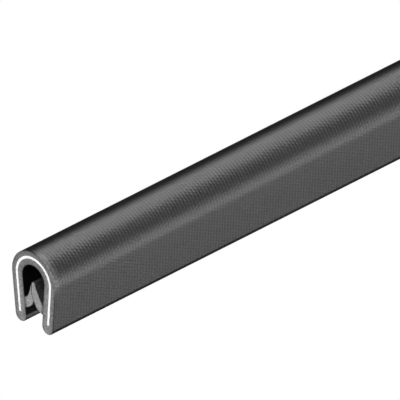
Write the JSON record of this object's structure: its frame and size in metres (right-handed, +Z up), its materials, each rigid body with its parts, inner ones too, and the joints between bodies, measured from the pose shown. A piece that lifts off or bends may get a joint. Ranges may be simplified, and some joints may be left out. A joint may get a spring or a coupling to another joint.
{
  "type": "edge trim seal",
  "caption": "U-shaped strip that grips the edge of a sheet: a soft plastic cover over a bent steel core, with retaining lips inside its legs.",
  "frame": {"origin": "on the surface that the strip stands on, midway between its two feet and halfway along it", "axes": "+Y along the strip, +X across it, +Z up from the feet to the crown"},
  "size_m": [0.012, 1, 0.0168],
  "materials": {
    "cover": "satin dark grey to black plasticised PVC with a fine grain outside, plain cut ends",
    "core": "bright sheared edge of bare steel strip"
  },
  "bodies": {
    "root": {"pvc_cover": "cover", "steel_core": "core"}
  },
  "joints": []
}
